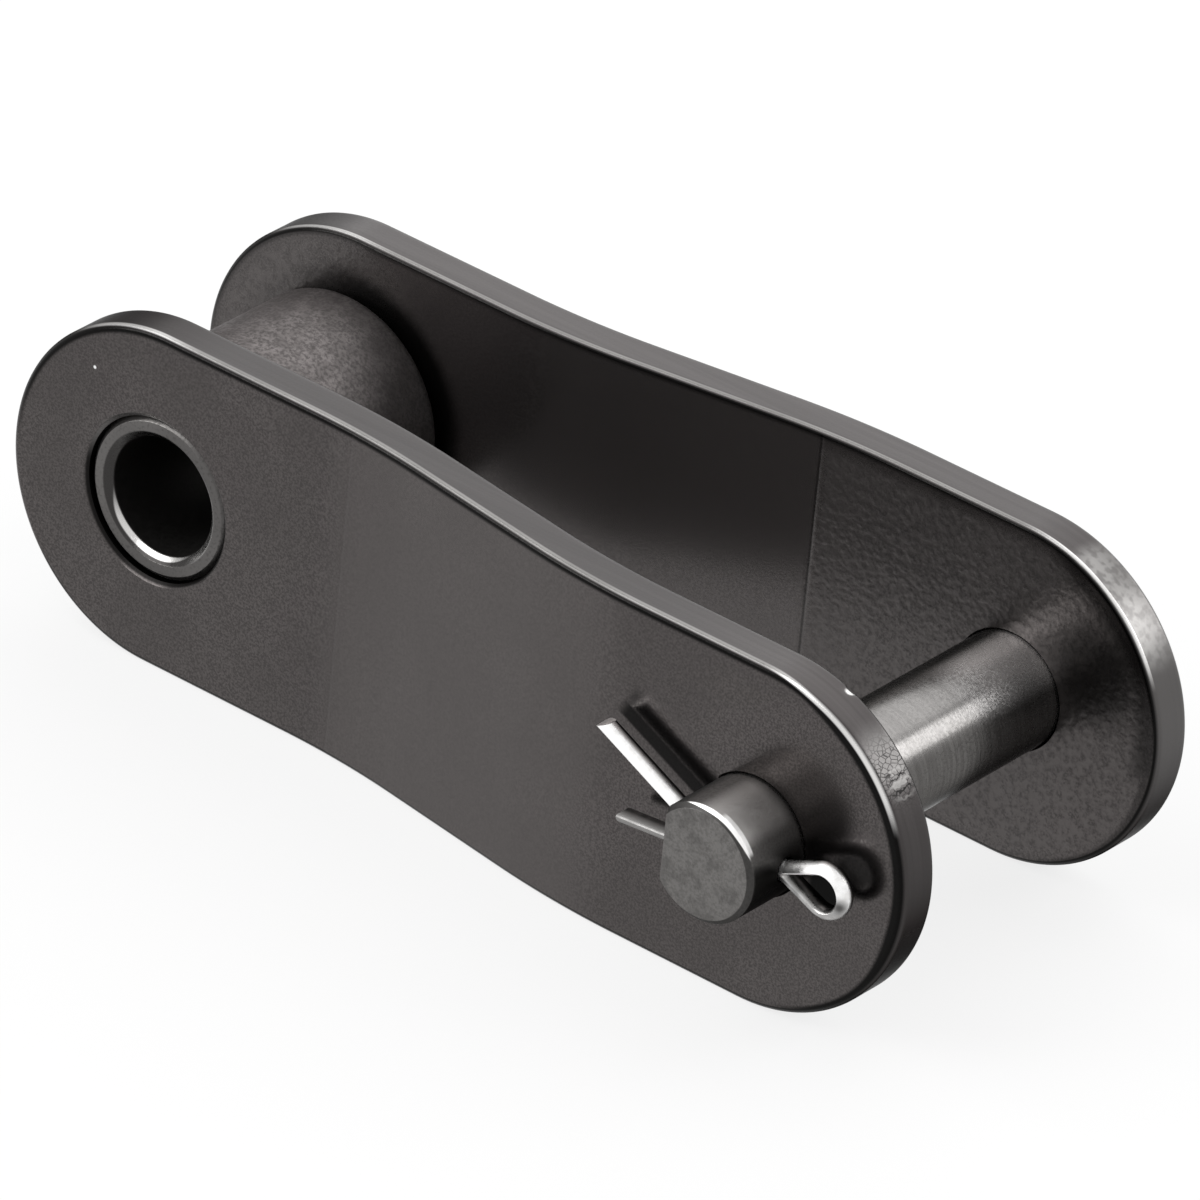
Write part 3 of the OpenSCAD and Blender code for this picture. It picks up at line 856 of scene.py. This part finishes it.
def makePin():
    radius = pin["diameter"] / 2
    front = -wideFace - pin["frontLength"]
    back = wideFace + pin["headHeight"]
    stepY = -(wideFace - plate["thickness"]) + pin["stepGap"]
    head, slope = pin["headDiameter"] / 2, pin["headSlope"]
    corners = [
        (0, front, 0), (radius * 0.5, front, 0), (radius - pin["bevel"], front, pin["endRound"]),
        (radius, front + pin["bevel"], pin["bevelRound"]), (radius, stepY, 0), (radius, stepY + 0.001, 0),
        (radius, wideFace, 0), (head, wideFace, pin["seatRound"]), (head, back - slope, pin["headRound"]),
        (head - 2 * slope, back, pin["crownRound"]), (0, back, 0),
    ]
    outline = easeCorners(corners, False, 4)
    corner = acos(pin["flat"] / radius)
    angles = sorted(evenly(-pi, pi, pin["turns"])[:-1] + [pi - corner, corner - pi])

    # the ring that stands at the step belongs to the flatted stretch
    def flatten(x, z, y):
        return (max(x, -pin["flat"]), z) if y <= stepY + 1e-6 else (x, z)

    piece = turnPiece("linkPin", outline, False, chain["pitch"], angles, pinSteel, flatten)
    # cross hole for the cotter
    hole = (cotter["diameter"] + cotter["slit"] + cotter["holeClearance"]) / 2
    n = pin["holeSteps"]
    rims = [[(chain["pitch"] + x, cotterY + hole * cos(a), hole * sin(a)) for a in evenly(0, 2 * pi, n)[:-1]]
            for x in (-pin["drillReach"], pin["drillReach"])]
    sides = [(i, (i + 1) % n, n + (i + 1) % n, n + i) for i in range(n)]
    drill = meshPiece("drill", rims[0] + rims[1], sides + [tuple(range(n)), tuple(range(n, 2 * n))])
    cut = piece.modifiers.new("crossHole", "BOOLEAN")
    cut.operation = "DIFFERENCE"
    cut.solver = "EXACT"
    cut.object = drill
    settle(piece)
    bpy.data.objects.remove(drill)
    smoothPiece(piece, pin["smooth"])
    return piece


linkPin = makePin()
handOver(linkPin, "link", "link_pin")
print("link pin turned:", len(linkPin.data.polygons), "faces")


# split cotter pin: half-round wire folded along a path by a node tree

# points of a path given as (length, turn in degrees, radius) steps, in the plane of the fold
def foldPath(place, heading, steps):
    points = [Vector(place)]
    for length, turn, radius in steps:
        if length:
            points.append(points[-1] + length * Vector((cos(heading), sin(heading))))
        if turn:
            sign = 1 if turn > 0 else -1
            middle = points[-1] + sign * radius * Vector((-sin(heading), cos(heading)))
            arm = points[-1] - middle
            for share in evenly(0, 1, ceil(abs(turn) / cotter["stepAngle"]))[1:]:
                points.append(middle + Matrix.Rotation(radians(turn) * share, 2) @ arm)
            heading += radians(turn)
    return points


def foldTree():
    tree, given = startTree("foldWire", ("Wire Radius", "Edge Round", "Pin Place", "Cotter Place"))
    add, nodes = tree.links.new, tree.nodes
    path = nodes.new("GeometryNodeMeshToCurve")
    add(given["Geometry"], path.inputs["Mesh"])
    upright = nodes.new("GeometryNodeSetCurveNormal")
    upright.mode = "Z_UP"
    add(path.outputs["Curve"], upright.inputs["Curve"])
    arc = nodes.new("GeometryNodeCurveArc")
    arc.inputs["Resolution"].default_value = cotter["arcSteps"]
    arc.inputs["Start Angle"].default_value = pi / 2
    arc.inputs["Sweep Angle"].default_value = pi
    add(given["Wire Radius"], arc.inputs["Radius"])
    ring = nodes.new("GeometryNodeSetSplineCyclic")
    ring.inputs["Cyclic"].default_value = True
    add(arc.outputs["Curve"], ring.inputs["Geometry"])
    eased = nodes.new("GeometryNodeFilletCurve")
    add(ring.outputs["Geometry"], eased.inputs["Curve"])
    add(given["Edge Round"], eased.inputs["Radius"])
    wire = nodes.new("GeometryNodeCurveToMesh")
    wire.inputs["Fill Caps"].default_value = True
    add(upright.outputs["Curve"], wire.inputs["Curve"])
    add(eased.outputs["Curve"], wire.inputs["Profile Curve"])
    stand = nodes.new("GeometryNodeTransform")
    stand.inputs["Rotation"].default_value = (pi / 2, 0, 0)
    place = nodes.new("ShaderNodeCombineXYZ")
    add(given["Pin Place"], place.inputs["X"])
    add(given["Cotter Place"], place.inputs["Y"])
    add(wire.outputs["Mesh"], stand.inputs["Geometry"])
    add(place.outputs[0], stand.inputs["Translation"])
    endTree(tree, stand.outputs["Geometry"], given["Material"])
    return tree


def makeCotter():
    c = cotter
    upper = radians(c["upperAngle"])
    rise = c["neckRadius"] + c["slit"] / 2
    span = hypot(c["eyeReach"], rise)
    eyeAngle = asin((c["eyeRadius"] + c["neckRadius"]) / span) - atan2(rise, c["eyeReach"])
    neckRun = c["eyeReach"] * cos(eyeAngle) - rise * sin(eyeAngle)
    grip = pin["diameter"] / 2 + pin["flat"]
    legRise = c["bendRadius"] * (1 - cos(upper)) + c["upperLength"] * sin(upper)
    legReach = c["bendRadius"] * sin(upper) + c["upperLength"] * cos(upper)
    eyeTurn = eyeAngle * 180 / pi
    steps = [
        (c["upperLength"], c["upperAngle"], c["bendRadius"]),
        (grip, eyeTurn, c["neckRadius"]),
        (neckRun, -180 - 2 * eyeTurn, c["eyeRadius"]),
        (neckRun, eyeTurn, c["neckRadius"]),
        (grip, c["lowerAngle"], c["bendRadius"]),
        (c["lowerDrop"], c["lowerTilt"] - c["lowerAngle"], c["bendRadius"]),
        (c["lowerLength"], 0, 0),
    ]
    path = foldPath((-pin["flat"] - legReach, c["slit"] / 2 + legRise), -upper, steps)
    mesh = bpy.data.meshes.new("cotterPin")
    mesh.from_pydata([(p.x * mm, p.y * mm, 0) for p in path], [(i, i + 1) for i in range(len(path) - 1)], [])
    piece = bpy.data.objects.new("cotterPin", mesh)
    scene.collection.objects.link(piece)
    fitTree(piece, foldTree(), {
        "Wire Radius": c["diameter"] / 2 * mm, "Edge Round": c["edgeRound"] * mm,
        "Pin Place": chain["pitch"] * mm, "Cotter Place": cotterY * mm, "Material": cotterSteel,
    })
    settle(piece)
    # the tip of the upper leg is cut off at a slant, shortest on its round side
    tip, along = path[0], (path[1] - path[0]).normalized()
    for vert in piece.data.vertices:
        off = Vector((vert.co.x / mm - chain["pitch"], vert.co.z / mm)) - tip
        if abs(off.dot(along)) < 1e-4:
            cut = c["tipSlant"] * abs(off.cross(along)) * along * mm
            vert.co += Vector((cut.x, 0, cut.y))
    smoothPiece(piece, c["smooth"])
    return piece


cotterPin = makeCotter()
handOver(cotterPin, "link", "cotter_pin")
print("cotter folded:", len(cotterPin.data.polygons), "faces, box",
      [[round(v / mm, 3) for v in corner] for corner in (cotterPin.bound_box[0], cotterPin.bound_box[6])])


# floor, light and camera

stage = {
    "floorSize": 3000, "floor": (0.88, 0.88, 0.88), "floorMottle": 0.985, "glow": 0.8, "sky": 0.45,
    "lampAim": (0.013, 0, 0), "lampDistance": 0.3,
}
lamps = {
    "rightBack": {"toward": (0.54, 0.69, 0.47), "along": (0.523, -0.72, 0.455),
                  "size": 0.26, "depth": 0.115, "watts": 0.35},
    "overBack": {"toward": (-0.25, 0.65, 0.72), "along": (1, 0, 0), "size": 0.36, "depth": 0.36, "watts": 0.5},
    "topLeft": {"toward": (-0.5, -0.5, 0.7), "along": (1, 0, 0), "size": 0.24, "depth": 0.24, "watts": 0.5},
    "frontLow": {"toward": (-0.62, -0.76, 0.16), "along": (1, 0, 0), "size": 0.1, "depth": 0.1, "watts": 0.3},
}
shot = {
    "place": (0.248691, -0.317202, 0.231196), "lens": 442.87, "sensor": 36, "near": 0.01, "far": 10,
    "right": (0.76954203, 0.63280452, 0.08581085), "up": (-0.37902665, 0.34445884, 0.85888702),
    "back": (0.51394928, -0.69347426, 0.50492533),
}


# share of a ray that shows the plain white studio instead of the lit surface; the camera's own share is given
def studioRay(tree, direct):
    path = tree.nodes.new("ShaderNodeLightPath")
    mirrored = calc(tree, "MAXIMUM", path.outputs["Is Glossy Ray"], path.outputs["Is Transmission Ray"])
    return calc(tree, "MAXIMUM", mirrored, calc(tree, "MULTIPLY", path.outputs["Is Camera Ray"], direct))


def makeFloor():
    half = stage["floorSize"] / 2
    low = cadBox[0].z / mm
    corners = [(-half, -half, low), (half, -half, low), (half, half, low), (-half, half, low)]
    finish = bpy.data.materials.new("paleFloor")
    finish.use_nodes = True
    tree = finish.node_tree
    tree.nodes.clear()
    out = tree.nodes.new("ShaderNodeOutputMaterial")
    matte = tree.nodes.new("ShaderNodeBsdfDiffuse")
    glow = tree.nodes.new("ShaderNodeEmission")
    mixed = tree.nodes.new("ShaderNodeMixShader")
    coords = tree.nodes.new("ShaderNodeTexCoord").outputs["Object"]
    body = tint(tree, spread(tree, grain(tree, coords, 40, 2), 0.3, 0.7), stage["floor"],
                tuple(v * stage["floorMottle"] for v in stage["floor"]))
    tree.links.new(body, matte.inputs["Color"])
    tree.links.new(studioRay(tree, stage["glow"]), mixed.inputs[0])
    tree.links.new(matte.outputs[0], mixed.inputs[1])
    tree.links.new(glow.outputs[0], mixed.inputs[2])
    tree.links.new(mixed.outputs[0], out.inputs["Surface"])
    floor = meshPiece("floor", corners, [(0, 1, 2, 3)], None, finish)


def makeWorld():
    world = bpy.data.worlds.new("studio")
    world.use_nodes = True
    tree = world.node_tree
    sky = tree.nodes["Background"]
    sky.inputs["Color"].default_value = (1, 1, 1, 1)
    strength = calc(tree, "MULTIPLY_ADD", studioRay(tree, 1.0), 1 - stage["sky"], stage["sky"])
    tree.links.new(strength, sky.inputs["Strength"])
    scene.world = world


def makeLamps():
    aim = Vector(stage["lampAim"])
    for name, lamp in lamps.items():
        data = bpy.data.lights.new(name, "AREA")
        data.energy = lamp["watts"]
        data.shape = "RECTANGLE"
        data.size, data.size_y = lamp["size"], lamp["depth"]
        piece = bpy.data.objects.new(name, data)
        toward = Vector(lamp["toward"]).normalized()
        across = toward.cross(Vector(lamp["along"])).normalized()
        turned = Matrix((across.cross(toward), across, toward)).transposed().to_4x4()
        piece.matrix_world = Matrix.Translation(aim + toward * stage["lampDistance"]) @ turned
        scene.collection.objects.link(piece)


def makeCamera():
    data = bpy.data.cameras.new("camera")
    data.lens = shot["lens"]
    data.sensor_width = shot["sensor"]
    data.clip_start, data.clip_end = shot["near"], shot["far"]
    piece = bpy.data.objects.new("camera", data)
    turned = Matrix((shot["right"], shot["up"], shot["back"])).transposed().to_4x4()
    piece.matrix_world = Matrix.Translation(shot["place"]) @ turned
    scene.collection.objects.link(piece)
    scene.camera = piece


makeFloor()
makeWorld()
makeLamps()
makeCamera()
scene.view_settings.view_transform = "Standard"
print("stage, lamps and camera set")
